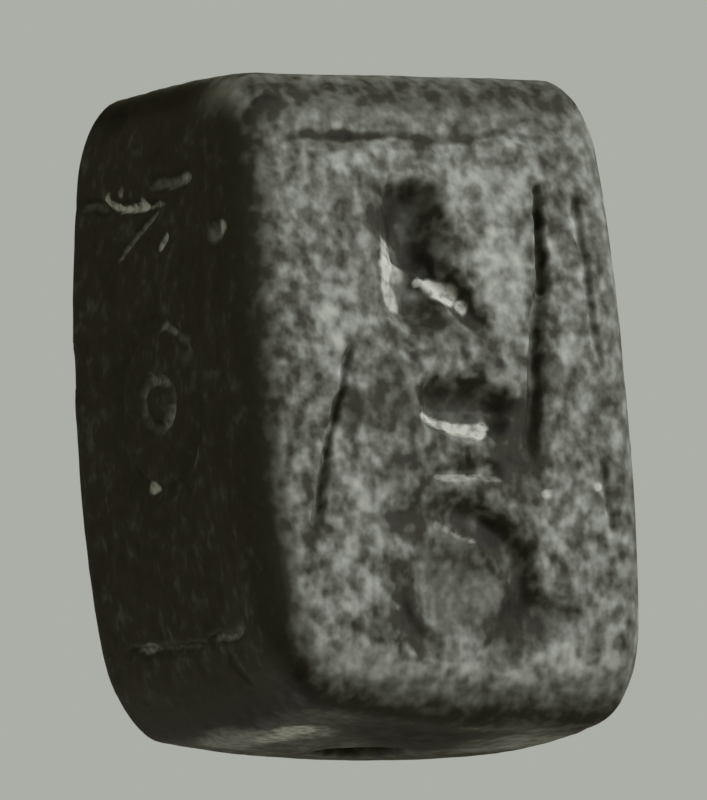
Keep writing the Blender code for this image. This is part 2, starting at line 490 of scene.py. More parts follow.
TAIL = Bar((1.3, -4.8), (0.95, -7.0), 1.3, fullness=0.3)

CUTS = {
    Side.UPPER: cuts(
        # Head: a cup, steep on its right and gentle on its left, and the throat.
        (HEAD, 0.66, 2, 1.4), (Oval((-0.8, 2.3), (1.8, 2.5), turn=8, lean=(0.25, 0.1)), 0.5, 2, 1.5),
        # Beak: a furrow that narrows to a point, steep above.
        (BEAK, 0.46, 1.6),
        # Shoulders, with a steep upper wall, and the belt with its small upright.
        (Bar((-1.0, -0.3), (1.75, -0.4), 1.5, lean=0.15), 0.48, 2, 1.4),
        (Bar((-0.78, -1.9), (1.35, -1.93), 0.36, fullness=0.6, bend=0.03), 0.16, 2, 1.3),
        (Bar((0.3, -1.3), (0.25, -1.76), 0.12), 0.05, 2, 1.3),
        # Body: a basin with a flat floor, then the deeper moats round it.
        (Oval((-0.2, -4.7), (3.9, 4.0)), 0.28, 3, 1.6),
        (Bar((-2.4, -2.9), (0.6, -2.85), 0.8, fullness=0.2), 0.14, 2, 1.5), (MOAT, 0.36, 2, 1.6),
        (LOWER_MOAT, 0.2, 2, 1.6), (TAIL, 0.26, 2, 1.6),
        # Foot: a wedge that runs out to a point on the right.
        (WEDGE, 0.34, 2, 1.5),
        # Long strokes beside the figure.
        (Bar((-2.45, 1.15), (-3.48, -1.7), 0.2, fullness=0.8, bend=-0.05), 0.15, 2),
        (Bar((-3.43, -1.55), (-3.92, -3.35), 0.32, fullness=0.6), 0.22, 2), (STAFF[0], 0.28, 2),
        (STAFF[1], 0.26, 2), (Bar((2.25, 0.2), (1.5, -2.6), 1.1, fullness=0.1), 0.13, 2, 1.5),
        # Border of the upper face.
        *((mark, 0.07, 1.3, 1.3) for mark in HEAD_BORDER),
        (Bar((3.93, 4.9), (4.12, 0.6), 0.2, fullness=0.8, bend=-0.08), 0.1, 2),
        (Bar((3.9, -1.5), (4.03, -3.2), 0.18), 0.11, 2)),
    Side.LEFT: cuts(
        (Bar((-4.05, 5.46), (0.85, 4.98), 0.34, bend=-0.06), 0.15),
        (Bar((0.5, 4.88), (-1.85, 3.9), 0.2), 0.12, 1.5),
        (Bar((-0.14, 5.48), (2.31, 5.47), 0.42), 0.13), (Bar((0.92, 4.24), (0.44, 3.94), 0.22), 0.08),
        (Bar((-3.0, -5.6), (1.0, -5.78), 0.28, fullness=0.8), 0.11),
        (Bar((1.05, -5.7), (3.25, -5.68), 0.32, fullness=0.7), 0.13),
        (Bar((1.95, -6.1), (2.45, -7.3), 0.24), 0.06),
        (Oval((3.64, 4.04), (0.95, 0.62), lean=(-0.2, 0.0)), 0.17, 2, 1.3),
        (Hoop((0.05, 0.18), 2.0, 0.36), 0.1), (Hoop((-0.04, 0.29), 0.74, 0.42, flatness=0.82), 0.17)),
    Side.RIGHT: cuts(
        (Bar((-3.1, 5.35), (3.3, 5.2), 0.3), 0.14), (Bar((-3.0, -5.45), (3.2, -5.6), 0.3), 0.14),
        (Hoop((0.0, 0.1), 1.6, 0.38), 0.18)),
}

# Pale lime left in the cuts, where no hand rubs it out, which also paints the highlights
# that lit cut walls catch, and painted light on the foot by the hole.
LIME_AND_HIGHLIGHTS = {
    # Upper face: lime, and painted highlights on the lit lower walls of the throat, the beak and the
    # shoulders.
    Side.UPPER: tones(
        (Bar((-0.56, 2.78), (0.0, 2.6), 0.26), 0.9),
        (Bar((-0.34, 2.7), (0.6, 2.2), 0.66, fullness=0.35), 1.2),
        (Oval((0.66, 2.04), (0.42, 0.34), turn=-30), 1.0),
        (Bar((-1.15, 3.85), (-1.4, 2.7), 0.52, fullness=0.2), 0.75),
        (Bar((-1.4, 3.0), (-1.05, 1.85), 0.48, fullness=0.2, bend=-0.04), 0.75),
        (Oval((-1.15, 3.0), (0.95, 0.6), turn=-25), 0.6),
        (Bar((-0.78, -0.55), (0.2, -0.84), 0.34), 1.0),
        (Bar((-0.2, -0.82), (0.92, -0.88), 0.42, thinning=-0.25), 1.05),
        (Oval((0.6, -1.0), (0.38, 0.32)), 0.6), (Oval((0.86, -0.76), (0.32, 0.28)), 0.6),
        (Bar((-0.72, -2.02), (0.42, -2.05), 0.2), 0.5, 1.5),
        (Bar((0.2, -2.04), (1.2, -2.1), 0.15, bend=0.04), 0.3),
        (Bar((-0.7, -3.08), (-0.15, -3.22), 0.26), 0.25),
        (Bar((-0.2, -3.26), (0.46, -3.56), 0.16, bend=-0.03), 0.45),
        (Oval((2.4, -2.4), (0.36, 0.26)), 1.1), (Oval((3.76, -2.28), (0.34, 0.3)), 0.8)),
    # Foot: painted light where the rim by the hole catches light from below.
    Side.FOOT: tones(
        (Arc((0.0, -0.2), 3.75, (130, 218), 1.65, fullness=0.6), 0.35),
        (Oval((-3.4, 0.5), (0.8, 1.3)), 0.45), (Oval((-3.5, 2.0), (1.1, 1.3)), 0.95),
        (Oval((-3.42, 1.2), (0.7, 0.9)), 0.6)),
    # Left side: lime, and painted glints on the walls of its signs, which lie in shadow.
    Side.LEFT: tones(
        (Bar((-2.45, 5.5), (-1.5, 5.15), 0.24, bend=-0.06), 1.0, 1.5),
        (Oval((-2.28, 5.46), (0.4, 0.34)), 0.6), (Bar((-1.8, 5.12), (-0.2, 5.06), 0.26), 1.0, 1.5),
        (Oval((-0.45, 5.12), (0.36, 0.36)), 0.7), (Bar((-0.3, 5.04), (0.75, 5.02), 0.14), 0.4),
        (Bar((-3.9, 5.34), (-2.4, 5.3), 0.26), 0.12, 1.0), (Oval((-1.5, 5.55), (0.3, 0.28)), 0.5),
        (Bar((0.5, 4.88), (-1.85, 3.9), 0.17), 0.35),
        (Bar((-0.14, 5.48), (2.21, 5.47), 0.34), 0.2, 1.0), (Oval((1.9, 5.51), (0.9, 0.34)), 0.4, 1.0),
        (Bar((0.94, 4.26), (0.42, 3.92), 0.24), 0.8), (Oval((3.5, 4.0), (0.95, 0.66)), 0.3, 1.0),
        (Oval((3.76, 4.1), (0.6, 0.42)), 0.85, 1.2),
        (Hoop((-0.04, 0.29), 0.75, 0.42, flatness=0.82), 0.11, 1.0),
        (Arc((-0.04, 0.29), 0.64, (30, 135), 0.42), 0.22, 1.0),
        (Arc((-0.04, 0.29), 0.66, (-85, -5), 0.46), 0.38, 1.0),
        (Arc((-0.04, 0.29), 0.72, (145, 200), 0.4), 0.14, 1.0),
        (Bar((0.3, 2.1), (1.2, 1.8), 0.3, bend=0.05), 0.3, 1.0),
        (Bar((1.0, 1.9), (1.95, 1.2), 0.3, bend=0.05), 0.12, 1.0),
        (Oval((-0.6, -1.66), (0.62, 0.36)), 0.9), (Bar((1.9, -0.9), (1.6, -1.5), 0.3), 0.12, 1.0),
        (Oval((-1.9, -5.6), (1.3, 0.34)), 0.45, 1.0),
        (Bar((-1.5, -5.62), (0.9, -5.78), 0.22), 0.1, 1.0),
        (Bar((1.1, -5.72), (3.25, -5.68), 0.3), 0.3, 1.0),
        (Bar((1.95, -6.1), (2.45, -7.3), 0.3), 0.05, 1.0)),
}

# Darker and paler patches on the upper face, partly clouds in the rock and partly painted
# shade and light: middle, size and shade.
CLOUDS_AND_SHADE = (
    ((2.05, -2.55), (0.8, 1.2), 0.6), ((3.4, -6.3), (1.1, 1.1), -0.9), ((3.05, 6.65), (1.0, 0.5), 0.7),
    ((2.84, 5.4), (1.0, 0.6), 0.6), ((0.45, 1.4), (1.6, 1.0), -0.7), ((-1.4, -3.2), (1.2, 1.0), -0.8),
    ((-2.75, -0.4), (1.0, 1.2), -0.8), ((-3.05, 1.0), (1.0, 1.9), 0.7),
    ((-3.66, 0.5), (0.7, 0.7), -0.5), ((-3.84, -0.95), (0.8, 0.8), -0.6),
    ((-2.4, -2.4), (1.1, 1.1), 0.8), ((-4.0, -3.4), (0.9, 1.1), -0.6),
    ((-3.94, -5.95), (0.9, 0.8), 1.0), ((-4.3, -4.85), (0.8, 0.9), 0.6),
    ((2.75, 0.5), (0.9, 1.3), -0.7), ((1.4, 0.1), (1.1, 0.7), 0.6), ((1.2, -0.9), (0.8, 0.7), -0.6),
    ((-0.9, 5.95), (1.3, 0.9), 0.8), ((-2.0, 1.0), (1.0, 1.0), 0.55), ((-1.5, 0.5), (1.1, 1.0), -0.6),
    ((-1.6, -6.4), (1.0, 1.0), -0.6), ((3.3, 1.0), (1.0, 1.1), 0.6),
)

# Broad places where the skin is darker or paler. Some are the stone's own tone; many are
# painted shade in the hollows and grooves and on edges that turn from the light, and some are
# painted light in shadows and on the foot.
SHADES = {
    Side.UPPER: tones(
        *((Oval(middle, size), shade) for middle, size, shade in CLOUDS_AND_SHADE),
        # Painted shade along the rounded left edge of the upper face.
        (Bar((-4.6, 7.0), (-4.6, 1.0), 1.0, fullness=0.6), -0.3),
        # Painted shade on the corner at the head and the left, on both sides of its edge, and painted
        # light in the shadow low in the head's cup.
        (Oval((-4.4, 7.25), (1.8, 1.4)), -0.75), (Oval((0.3, 3.35), (0.55, 1.4)), 0.9),
        # Painted shade in the head's cup, the beak and the throat.
        (Bar((-0.25, 5.3), (-0.25, 2.7), 1.7, fullness=0.6), -0.5),
        (Oval((-1.25, 4.4), (1.5, 1.8)), -0.7), (Bar((-0.85, 5.1), (-0.7, 3.5), 0.8), -0.35),
        (BEAK, -0.85), (Oval((-0.47, 1.85), (1.5, 1.2)), -1.0, 1.2),
        (Oval((-1.6, -0.35), (2.6, 1.4)), -0.6), (Oval((1.75, -1.2), (1.9, 3.8)), -0.9),
        (Oval((-0.7, -1.8), (4.4, 2.8)), -0.35),
        # Painted shade under the shoulders' upper wall.
        (Bar((-0.95, 0.0), (1.6, -0.05), 0.8, fullness=0.7), -0.5),
        (Oval((0.4, -0.35), (2.9, 1.3)), -0.4),
        # Painted shade in the body's moats, tail and wedge, with painted light lifting the deepest
        # shadow.
        (Bar((-2.3, -2.9), (0.9, -2.85), 0.7), -0.3, 1.0), (MOAT, -0.3),
        (Bar((1.76, -3.7), (1.66, -4.8), 0.55), -0.3), (Oval((1.2, -3.3), (1.7, 1.5)), -0.35),
        (Arc((-0.2, -4.7), 1.45, (80, 5), 0.7, fullness=0.6), -0.45),
        (Oval((1.02, -3.3), (1.0, 0.75), turn=-35), -0.55), (Oval((2.12, -4.72), (0.75, 0.65)), 0.4),
        (LOWER_MOAT, -0.25), (Bar((-1.64, -3.85), (-1.64, -5.2), 0.75), -0.5),
        (Bar((-2.1, -5.3), (-0.6, -6.45), 1.1), -0.75), (TAIL, -0.65), (WEDGE, -0.5),
        (Bar((1.4, -5.3), (3.5, -5.25), 1.0, thinning=0.5), -0.15),
        (Oval((-2.6, -5.7), (1.3, 1.2)), -0.6), (Oval((-0.5, -4.0), (2.6, 1.0)), -0.5),
        # Dirt and painted shade in the grooves of the staff and the head's border.
        (STAFF[0], -0.4), (STAFF[1], -0.4), *((mark, -0.65, 0.8) for mark in HEAD_BORDER),
        (Bar((-2.8, 6.31), (-0.8, 6.33), 0.4), -0.6, 1.0),
        (Bar((-4.0, 6.16), (0.6, 6.14), 0.55, fullness=0.8), -0.45, 1.0),
        (Oval((1.7, 2.9), (1.6, 2.8)), 0.9), (Oval((1.3, 5.0), (3.4, 1.8)), 0.5),
        (Oval((-2.3, 5.4), (1.8, 1.1)), 0.4), (Oval((-2.7, 2.0), (1.4, 2.0)), 0.4),
        (Oval((-3.0, -4.6), (1.4, 2.4)), 0.4), (Oval((3.2, -6.0), (2.4, 2.8)), 0.5),
        # Painted light along the lower edge of the upper face, which turns away from the lamp.
        (Bar((-4.3, -6.75), (4.3, -6.65), 1.9, fullness=0.8), 0.45, 1.0)),
    Side.LEFT: tones(
        # Painted shade on the corner at the head, matching the upper face's side of the edge.
        (Oval((5.62, 7.25), (1.8, 1.4)), -0.75)),
    Side.FOOT: tones(
        # Painted shade over the foot's dark band, and painted light where it catches light from below.
        (Oval((0.7, 2.0), (4.4, 2.8)), -0.8), (Oval((-0.9, 2.9), (4.6, 2.4)), -1.0, 1.0),
        (Oval((2.1, 3.9), (2.8, 1.2)), 0.5, 1.0), (Oval((2.9, 1.9), (4.4, 3.8)), 1.2, 1.0)),
}

CHIPS = (
    Chip((-1.0, 0.96, -0.5), 0.16, 1.0, (1.5, 1.5)), Chip((-1.0, 0.2, -0.95), 0.13, 0.9, (2.2, 1.6)),
    Chip((-0.47, 1.0, 0.88), 0.12, 0.5, (0.9, 0.5)), Chip((1.0, -0.97, 0.3), 0.14, 0.9, (1.3, 1.6)),
)

SWELLS = (
    Swell((-1.0, 1.0, 0.35), (0.7, 0.35, 1.3), 0.1), Swell((-1.0, -0.65, 0.85), (0.15, 0.6, 0.5), 0.25),
)

# Layers of soft lumps, each with its height, width and seed: how the hand that cut the signs
# shook, how uneven the skin is, and how rough the chips are.
HAND = ((0.08, 0.8, 21), (0.04, 0.34, 30), (0.02, 0.16, 39))
UNEVENNESS = ((0.022, 2.4, 41), (0.012, 0.55, 42), (0.007, 0.25, 43))
CHIP_ROUGHNESS = ((0.012, 0.16, 51),)
LEVEL_BELOW = 0.6         # so near the back the skin grows even, so that the back lies flat


@dataclass
class WornBlock:
    """The form of the bead: a squared block whose edges and faces are worn.

    Attributes:
        half: Half sizes of the block.
        edge_radius: Radius of the long edges, and what it gains where they reach an end.
        end_rounding: How far the head's and the foot's rounding reach along the bead.
        widening: How much wider the head end is, as a share.
        bows: How much nearer the middle the left and right faces lie at the ends, as shares.
        upper_fall: How much the upper face falls towards the head, as a share.
        upper_bow: How much lower the upper face lies at both ends, as a share.
        domes: How far the head's and the foot's rims fall back from their middles.
        slants: Rise of the head and of the foot per millimetre across and up.
        step: How far apart spots lie when the skin's slope is taken.
    """

    half: np.ndarray
    edge_radius: tuple[float, float] = (0.9, 0.15)
    end_rounding: tuple[float, float] = (1.95, 2.5)
    widening: float = 0.013
    bows: tuple[float, float] = (0.133, 0.010)
    upper_fall: float = 0.062
    upper_bow: float = 0.064
    domes: tuple[float, float] = (0.065, -0.41)
    slants: tuple[tuple[float, float], tuple[float, float]] = ((0.012, -0.062), (-0.070, 0.022))
    step: float = 0.01

    def rounding(self, point: np.ndarray) -> tuple[np.ndarray, np.ndarray, np.ndarray]:
        """How points of the block's skin are rounded.

        The roundings are ellipses that reach further along the bead than across it. Across, their
        radius is that of the long edges plus its gain times the eased square of the share along.

        Args:
            point: Points of the skin, one row of three to a point.

        Returns:
            The middle, the radii and the direction of the rounding at each point.
        """
        along = point[:, 1] / self.half[1]
        side = self.edge_radius[0] + self.edge_radius[1] * smooth_step(along ** 2)
        end = np.where(along > 0, *self.end_rounding)
        radii = np.stack([side, end, side], axis=1)
        middle = np.clip(point, radii - self.half, self.half - radii)
        lean = (point - middle) / radii
        return middle, radii, lean / np.linalg.norm(lean, axis=1, keepdims=True)

    def worn(self, point: np.ndarray) -> np.ndarray:
        """Where points of the block's skin lie on the worn stone, before it is centred.

        The rounded block is bowed across by the square of the share along. Its ends are domed by
        the squared distance from the axis times the cube of that share, and slanted by its
        square. Its upper face is let down towards the head, and by the square at both ends. The
        back stays flat at height 0.

        Args:
            point: Points of the skin, one row of three to a point.

        Returns:
            The worn points.
        """
        middle, radii, lean = self.rounding(point)
        x, y, z = (middle + radii * lean).T
        along = y / self.half[1]
        x = x * (1 + self.widening * along - np.where(x > 0, *self.bows[::-1]) * along ** 2)
        from_axis = (x / self.half[0]) ** 2 + (z / self.half[2]) ** 2
        to_head = y > 0
        dome = -np.where(to_head, *self.domes)
        slant_x, slant_z = np.where(to_head[:, None], *self.slants).T
        y = y + dome * from_axis * np.abs(along) ** 3 + (slant_x * x + slant_z * z) * along ** 2
        along = y / self.half[1]
        z = (z + self.half[2]) * (1 - self.upper_fall * along - self.upper_bow * along ** 2)
        return np.stack([x, y, z], axis=1)

    def outward(self, point: np.ndarray) -> np.ndarray:
        """The worn skin's outward direction at block points.

        It is the cross product of two short steps along the skin, taken back from the block's
        edges where a step would leave the side, and turned to agree with the rounding.

        Args:
            point: Points of the skin, one row of three to a point.

        Returns:
            Directions of length 1.
        """
        _, radii, lean = self.rounding(point)
        facing = np.argmax(np.abs(point) / self.half, axis=1)
        here = self.worn(point)
        rows = np.arange(len(point))
        moves = []
        for turn in (1, 2):
            axis = (facing + turn) % 3
            shift = np.zeros_like(point)
            shift[rows, axis] = np.where(point[rows, axis] > 0, -self.step, self.step)
            moves.append(self.worn(point + shift) - here)
        direction = np.cross(*moves)
        direction *= np.sign(np.sum(direction * (lean / radii), axis=1, keepdims=True))
        return direction / np.linalg.norm(direction, axis=1, keepdims=True)


@dataclass(frozen=True)
class StringHole:
    """The hole along the bead, drilled from both ends, so it is widest at its mouths.

    Attributes:
        height: Height of its middle over the back.
        mouth: Radius just inside each mouth.
        throat: Radius where the two drillings meet.
        flare: Power of the share of the way out by which the throat widens to the mouth.
        rim: Radius of the worn rounding at each mouth.
        cells: Half width of the square that it takes out of the grid, in coarse cells.
        halved: Coarse cells round that square that are halved once.
        spread: Coarse cells over which the grid eases from the round mouth back to its rows.
        rings: Rings of points along the hole.
        crowding: How far the rings ease towards the mouths, as a share.
        grooves: The drill's grooves, as layers of lumps that are drawn out round the hole.
        drawn_out: Share of its size across the hole that a groove's pattern has.
        wavering: How uneven the wall is besides, as layers of lumps.
    """

    height: float = 4.7
    mouth: float = 1.05
    throat: float = 0.88
    flare: float = 1.5
    rim: float = 0.26
    cells: int = 5
    halved: int = 4
    spread: int = 9
    rings: int = 44
    crowding: float = 0.6
    grooves: tuple[tuple[float, float, int], ...] = ((0.018, 0.3, 61),)
    drawn_out: float = 0.15
    wavering: tuple[tuple[float, float, int], ...] = ((0.02, 0.6, 62),)


class SkinGrid:
    """The block's skin as a grid whose cells are halved once or twice where detail needs it."""

    def __init__(self, cells: np.ndarray, grades: dict[Side, np.ndarray],
                 openings: dict[Side, np.ndarray]) -> None:
        """Works out the grid's faces and corners.

        Args:
            cells: Coarse cells along each axis.
            grades: How often each coarse cell of a side is halved: 0, 1 or 2.
            openings: Coarse cells of a side that are left out, where the hole opens.
        """
        self.fine = np.asarray(cells) * FINEST
        self.grades = grades
        self.openings = openings
        loops, totals = zip(*(self.side_faces(side) for side in Side))
        keys, self.loops = np.unique(np.concatenate(loops), return_inverse=True)
        self.keys = keys
        self.totals = np.concatenate(totals)
        span = self.fine + 1
        self.corners = np.stack(
            [keys % span[0], keys // span[0] % span[1], keys // (span[0] * span[1])], axis=1)

    def key(self, corner: np.ndarray) -> np.ndarray:
        """One number for each corner, from its three whole-numbered places."""
        span = self.fine + 1
        return corner[..., 0] + span[0] * (corner[..., 1] + span[1] * corner[..., 2])

    def side_faces(self, side: Side) -> tuple[np.ndarray, np.ndarray]:
        """The faces of one side.

        A face is a square whose four edges are each walked in 1, 2 or 4 steps, as finely as the
        neighbour across that edge is divided, so that no corner hangs on a longer edge.

        Args:
            side: The side of the block.

        Returns:
            The corner keys of all faces in a row, and how many belong to each face.
        """
        u_axis, v_axis, facing, end, turn = side.value
        grade = self.grades[side]
        padded = np.pad(grade, 1, mode="edge")
        starts = np.array([(0, 0), (1, 0), (1, 1), (0, 1)])
        moves = np.array([(1, 0), (0, 1), (-1, 0), (0, -1)])
        keys, totals = [], []
        for level in range(3):
            cell = np.argwhere((grade == level) & ~self.openings[side])
            if not len(cell):
                continue
            parts = 2 ** level
            size = FINEST // parts
            sub = np.stack(np.meshgrid(np.arange(parts), np.arange(parts), indexing="ij"), -1)
            sub = sub.reshape(-1, 2)
            origin = (cell[:, None] * FINEST + sub * size).reshape(-1, 1, 1, 2)
            beyond = np.stack([padded[cell[:, 0] + 1 + du, cell[:, 1] + 1 + dv]
                               for du, dv in ((0, -1), (1, 0), (0, 1), (-1, 0))], axis=1)
            on_edge = np.stack([sub[:, 1] == 0, sub[:, 0] == parts - 1,
                                sub[:, 1] == parts - 1, sub[:, 0] == 0], axis=1)
            steps = np.where(on_edge, 2 ** np.maximum(beyond - level, 0)[:, None], 1)
            steps = steps.reshape(-1, 4, 1)
            count = np.arange(FINEST)
            walked = size * count // steps
            spot = origin + starts[:, None] * size + moves[:, None] * walked[..., None]
            corner = np.zeros(spot.shape[:-1] + (3,), dtype=np.int64)
            corner[..., u_axis] = spot[..., 0]
            corner[..., v_axis] = spot[..., 1]
            corner[..., facing] = self.fine[facing] * end
            taken = np.broadcast_to(count < steps, spot.shape[:-1]).reshape(len(spot), -1)
            flat = self.key(corner).reshape(len(spot), -1)
            if turn < 0:
                flat, taken = flat[:, ::-1], taken[:, ::-1]
            keys.append(flat[taken])
            totals.append(taken.sum(axis=1))
        return np.concatenate(keys), np.concatenate(totals)

    def find(self, corner: np.ndarray) -> np.ndarray:
        """The places of corners among the grid's corners."""
        return np.searchsorted(self.keys, self.key(corner))

    def on_side(self, side: Side) -> np.ndarray:
        """True for the corners that lie on a side."""
        facing, end = side.value[2:4]
        return self.corners[:, facing] == self.fine[facing] * end


@dataclass(frozen=True)
class Soapstone:
    """Dark soapstone, cut with a wheel and rubbed to a dull polish by long use in the hand.

    The rock is a felt of dark and pale grains, which gives the skin its close mottling under
    broader clouds. The rubbed skin has a soft sheen that breaks up over the grains. The cuts are
    darker with depth, from dirt and from painted shade in the hollows. Pale lime in them also
    paints the highlights that lit cut walls catch.

    Attributes:
        tones: Colours from the darkest grains to the palest, in even steps.
        lime_and_highlight: Colour of the lime in the cuts, which also paints their highlights.
        patterns: Width, detail and share of the grains, of the flecks in them and of the clouds.
        stretch: How much finer the patterns are along each axis. They run a little along the bead.
        shade_share: How much a shade of 1 adds to the pattern.
        contrast: How far the pattern may swing before its colour is the darkest or the palest.
        dark_depths: Depths at which a cut begins to darken and is darkest, from dirt and painted shade.
        dirt_and_shade: Share of its light that the darkest cut keeps.
        lime_highlight_breaks: Values of the flecks between which the lime and painted highlight
            thicken.
        thin_lime_highlight: Share of the lime and painted highlight where it is thinnest.
        relief: Height of the skin's unevenness.
        fleck_relief: The flecks' part in it, where the grains' is 1.
        rough_grains: Values of the grains between which the roughness rises.
        roughness: Roughness of the most and the least rubbed skin.
        ior: Index of refraction.
        sheen: Strength of the mirrored light, where a half is what the index gives.
    """

    tones: tuple[str, ...] = ("#13120b", "#2f2e25", "#61645e", "#8c908d", "#a9ada9")
    lime_and_highlight: str = "#b6b9b3"
    patterns: tuple[tuple[float, float, float], ...] = (
        (0.38, 1.0, 1.0), (0.17, 1.0, 0.38), (1.6, 2.0, 0.35))
    stretch: tuple[float, float, float] = (0.93, 0.8, 1.0)
    shade_share: float = 0.25
    contrast: float = 0.4
    dark_depths: tuple[float, float] = (0.02, 0.6)
    dirt_and_shade: float = 0.78
    lime_highlight_breaks: tuple[float, float] = (0.35, 0.6)
    thin_lime_highlight: float = 0.45
    relief: float = 0.012
    fleck_relief: float = 0.5
    rough_grains: tuple[float, float] = (0.35, 0.65)
    roughness: tuple[float, float] = (0.7, 0.86)
    ior: float = 1.57
    sheen: float = 0.2

    def material(self) -> bpy.types.Material:
        """Makes the stone's material.

        The shade is the grains' noise with shares of the flecks' and the clouds', as strong as
        the skin's mottling says, plus a share of the skin's own shade, which holds painted shade
        and light besides the stone's tone. It runs through a ramp from dark to pale, is dimmed in the
        cuts by dirt and painted shade, and mixed with lime that also paints highlights.

        Returns:
            The new material.
        """
        material = bpy.data.materials.new("dark_soapstone")
        material.use_nodes = True
        tree = material.node_tree
        tree.nodes.clear()
        where = add_node(tree, "ShaderNodeTexCoord").outputs["Object"]
        along = add_node(tree, "ShaderNodeMapping", inputs={
            "Vector": where, "Scale": [axis / MM for axis in self.stretch]}).outputs["Vector"]
        grain, fleck, clouds = (
            add_node(tree, "ShaderNodeTexNoise", inputs={
                "Vector": along, "Scale": 1 / width, "Detail": detail}).outputs["Fac"]
            for width, detail, _ in self.patterns)
        lime_and_highlight, shade, depth, mottling = (
            add_node(tree, "ShaderNodeAttribute", {"attribute_name": name}).outputs["Fac"]
            for name in ("lime_and_highlight", "shade", "depth", "mottling"))
        # Each noise is a half on average, so the sum less half of its shares swings round nothing.
        pattern = -sum(share for _, _, share in self.patterns) / 2
        for noise, (_, _, share) in zip((grain, fleck, clouds), self.patterns):
            pattern = add_node(tree, "ShaderNodeMath", {"operation": "MULTIPLY_ADD"}, {
                0: noise, 1: share, 2: pattern}).outputs[0]
        pattern = add_node(tree, "ShaderNodeMath", {"operation": "MULTIPLY"}, {
            0: pattern, 1: mottling}).outputs[0]
        pattern = add_node(tree, "ShaderNodeMath", {"operation": "MULTIPLY_ADD"}, {
            0: shade, 1: self.shade_share, 2: pattern}).outputs[0]
        ends = ("Value", "From Min", "From Max", "To Min", "To Max")
        tone, light, broken, rough = (
            add_node(tree, "ShaderNodeMapRange", inputs=dict(zip(ends, values))).outputs["Result"]
            for values in ((pattern, -self.contrast, self.contrast, 0.0, 1.0),
                           (depth, *self.dark_depths, 1.0, self.dirt_and_shade),
                           (fleck, *self.lime_highlight_breaks, self.thin_lime_highlight, 1.0),
                           (grain, *self.rough_grains, *self.roughness)))
        ramp = add_node(tree, "ShaderNodeValToRGB", inputs={"Fac": tone})
        stops = ramp.color_ramp.elements
        stops[0].color, stops[1].color = linear(self.tones[0]), linear(self.tones[-1])
        for place, hue in enumerate(self.tones[1:-1], 1):
            stops.new(place / (len(self.tones) - 1)).color = linear(hue)
        # Dim the cuts by depth: dirt, and painted shade in the hollows.
        dimmed = add_node(tree, "ShaderNodeVectorMath", {"operation": "SCALE"}, {
            0: ramp.outputs["Color"], "Scale": light}).outputs["Vector"]
        # Mix in the lime, which also paints highlights on lit cut walls and light on the foot.
        lime_highlight_amount = add_node(tree, "ShaderNodeMath", {"operation": "MULTIPLY", "use_clamp": True}, {
            0: lime_and_highlight, 1: broken}).outputs[0]
        colour = add_node(tree, "ShaderNodeMix", {"data_type": "RGBA"}, {
            0: lime_highlight_amount, 6: dimmed, 7: linear(self.lime_and_highlight)}).outputs[2]
        relief = add_node(tree, "ShaderNodeMath", {"operation": "MULTIPLY_ADD"}, {
            0: fleck, 1: self.fleck_relief, 2: grain}).outputs[0]
        bump = add_node(tree, "ShaderNodeBump", inputs={
            "Strength": 1.0, "Distance": self.relief * MM, "Height": relief}).outputs["Normal"]
        surface = add_node(tree, "ShaderNodeBsdfPrincipled", inputs={
            "Base Color": colour, "Roughness": rough, "Normal": bump,
            "IOR": self.ior, "Specular IOR Level": self.sheen, "Metallic": 0.0}).outputs["BSDF"]
        add_node(tree, "ShaderNodeOutputMaterial", inputs={"Surface": surface})
        return material


@dataclass(frozen=True)
class Ramp:
    """Eases a number from 0 at its start up to its height, a span further on."""

    start: float
    span: float
    height: float = 1.0

    def at(self, value: np.ndarray) -> np.ndarray:
        """The height times the eased share of the span that values are past the start."""
        return self.height * smooth_step((value - self.start) / self.span)


